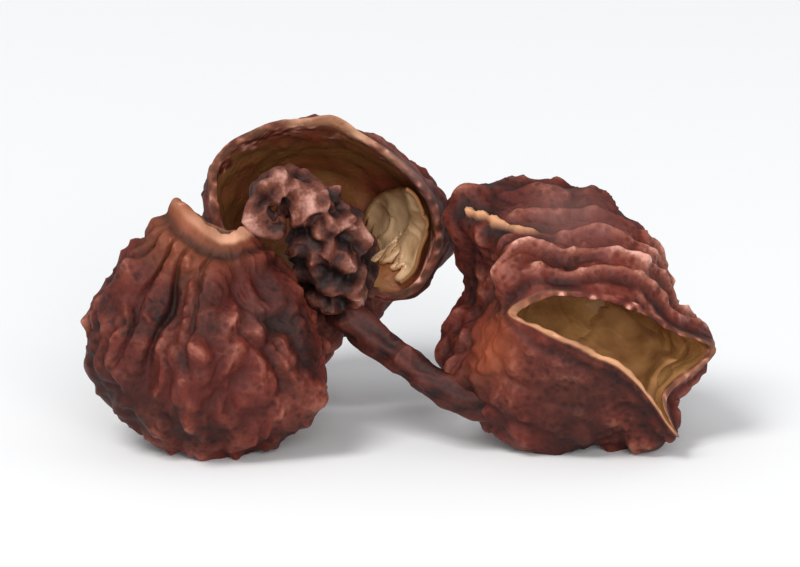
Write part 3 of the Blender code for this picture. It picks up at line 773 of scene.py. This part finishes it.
def stalkBark(name, tones):
    material, tree, shader, place, at = newMaterial(name, ("relief",))
    fibre = addNode(tree, "ShaderNodeTexNoise",
                    {"Scale": patternScale(tones["fibre"]), "Detail": 5.0}, {"Vector": place})
    grain = addNode(tree, "ShaderNodeMath",
                    {"operation": "MULTIPLY_ADD", 1: tones["grain"], 2: tones["grainMiddle"]},
                    {0: fibre.outputs["Fac"]})
    height = addNode(tree, "ShaderNodeMath", {"operation": "ADD", "use_clamp": True},
                     {0: at["relief"], 1: grain.outputs[0]})
    stops = ((0.0, tones["crevice"]), (1.0, tones["tip"]), (0.25, tones["low"]), (0.55, tones["mid"]))
    colour = addNode(tree, "ShaderNodeValToRGB", {"stops": stops}, {"Fac": height.outputs[0]})
    bump = addNode(tree, "ShaderNodeBump", {"Strength": 0.6, "Distance": 0.015 * mm},
                   {"Height": fibre.outputs["Fac"]})
    tree.links.new(colour.outputs["Color"], shader.inputs["Base Color"])
    tree.links.new(bump.outputs[0], shader.inputs["Normal"])
    shader.inputs["Roughness"].default_value = 0.6
    shader.inputs["Specular IOR Level"].default_value = 0.25
    return material


# The stalk widens into the receptacle from which the left and middle husks grew
stalk = {
    "stations": (
        ((-0.9, 2.0, 2.12), 1.1), ((-0.8, 1.1, 2.12), 1.5), ((-0.62, 0.7, 1.88), 1.05),
        ((-0.05, 0.3, 1.52), 0.86), ((0.5, 0.0, 1.2), 0.88), ((0.95, -0.1, 0.98), 1.1),
        ((1.5, 0.0, 0.85), 1.2),
    ),
    "radius": 0.27, "rows": 260, "columns": 64, "roundEnd": 0.3, "reference": (0.0, 0.0, 1.0),
    "furrows": 5.0, "furrowHeight": 0.018, "lump": 0.45, "lumpHeight": 0.014,
    "wrinkle": 0.25, "wrinkleStretch": 6.0, "wrinkleHeight": 0.015, "wartSpacing": 0.0, "wartHeight": 0.0,
    "tone": 0.15, "wrinkleTone": 0.3, "wartTone": 0.0, "darkFoot": 0.0, "seed": 81,
}
addPiece("stalk", buildMesh("stalk", tubePart(stalk)), stalkBark("driedStalkBark", barkTones),
         "stalk")

# The small carpel never ripened: it has shrivelled into a warty knob with a hooked tip
smallCarpel = {
    "stations": (
        ((-0.92, 1.15, 2.1), 1.4), ((-1.0, 0.95, 2.8), 2.0), ((-1.15, 0.8, 3.35), 2.0),
        ((-1.5, 0.7, 3.9), 1.2), ((-1.9, 0.6, 4.08), 0.75), ((-2.14, 0.5, 3.85), 0.6),
        ((-1.98, 0.43, 3.6), 0.5), ((-1.75, 0.42, 3.62), 0.4),
    ),
    "radius": 0.27, "rows": 420, "columns": 150, "roundEnd": 0.4, "reference": (0.0, 1.0, 0.0),
    "furrows": 5.0, "furrowHeight": 0.03, "lump": 0.34, "lumpHeight": 0.06,
    "wrinkle": 0.4, "wrinkleStretch": 1.3, "wrinkleHeight": 0.05, "wartSpacing": 0.3, "wartHeight": 0.13,
    "tone": 0.08, "wrinkleTone": 0.28, "wartTone": 0.5, "darkFoot": 0.2, "seed": 91,
}
# the carpel's pale pink tip colour is a painted highlight on its warts and wrinkles
carpelTones = dict(barkTones, crevice="#110504", low="#34160f", mid="#6a3a2c", tip="#c08e80", fibre=0.06)
addPiece("smallCarpel", buildMesh("smallCarpel", tubePart(smallCarpel)),
         stalkBark("shrivelledCarpelSkin", carpelTones), "stalk")


# A matt pale table, with soft light from a panel at the upper left and from a larger one low in front.
# Places, sizes and the nearest distance are in metres, powers in watts, and the lens, the sensor, the shown
# width and the aim in mm.
stage = {
    "tableSize": 1.2, "tableColour": "#eeeeee", "tableRoughness": 0.9,
    "skyColour": "#fafcff", "skyStrength": 0.55,
    "keyPlace": (-0.12, -0.13, 0.22), "keySize": 0.11, "keyPower": 0.5,
    "fillPlace": (0.05, -0.28, 0.1), "fillSize": 0.16, "fillPower": 0.6,
    "cameraLift": 14.0, "lens": 400.0, "sensor": 36.0, "nearest": 0.001,
    "shownWidth": 12.5, "aim": (0.0, 0.0, 2.25),
}


def addTable():
    half = stage["tableSize"] / 2.0
    corners = [(-half, -half, 0.0), (half, -half, 0.0), (half, half, 0.0), (-half, half, 0.0)]
    mesh = bpy.data.meshes.new("table")
    mesh.from_pydata(corners, [], [(0, 1, 2, 3)])
    table = bpy.data.objects.new("table", mesh)
    bpy.context.scene.collection.objects.link(table)
    material, tree, shader, place, at = newMaterial("mattPaleTable", ())
    shader.inputs["Base Color"].default_value = linear(stage["tableColour"])
    shader.inputs["Roughness"].default_value = stage["tableRoughness"]
    mesh.materials.append(material)


def addPanel(name, place, size, power):
    light = bpy.data.lights.new(name, "AREA")
    light.size, light.energy = size, power
    panel = bpy.data.objects.new(name, light)
    panel.location = place
    panel.rotation_euler = (-Vector(place)).to_track_quat("-Z", "Y").to_euler()
    bpy.context.scene.collection.objects.link(panel)


def addCamera():
    lift = np.radians(stage["cameraLift"])
    back = Vector((0.0, -np.cos(lift), np.sin(lift)))
    camera = bpy.data.objects.new("camera", bpy.data.cameras.new("camera"))
    camera.data.lens = stage["lens"]
    camera.data.sensor_width = stage["sensor"]
    camera.data.clip_start = stage["nearest"]
    reach = stage["shownWidth"] * mm * stage["lens"] / stage["sensor"]
    camera.location = Vector(stage["aim"]) * mm + back * reach
    camera.rotation_euler = (-back).to_track_quat("-Z", "Y").to_euler()
    bpy.context.scene.collection.objects.link(camera)
    bpy.context.scene.camera = camera


def addSky():
    world = bpy.data.worlds.new("studio")
    world.use_nodes = True
    background = world.node_tree.nodes["Background"]
    background.inputs["Color"].default_value = linear(stage["skyColour"])
    background.inputs["Strength"].default_value = stage["skyStrength"]
    bpy.context.scene.world = world


addTable()
addPanel("keyPanel", stage["keyPlace"], stage["keySize"], stage["keyPower"])
addPanel("fillPanel", stage["fillPlace"], stage["fillSize"], stage["fillPower"])
addCamera()
addSky()
bpy.context.scene.view_settings.view_transform = "Standard"
print("set the table, the light and the camera")
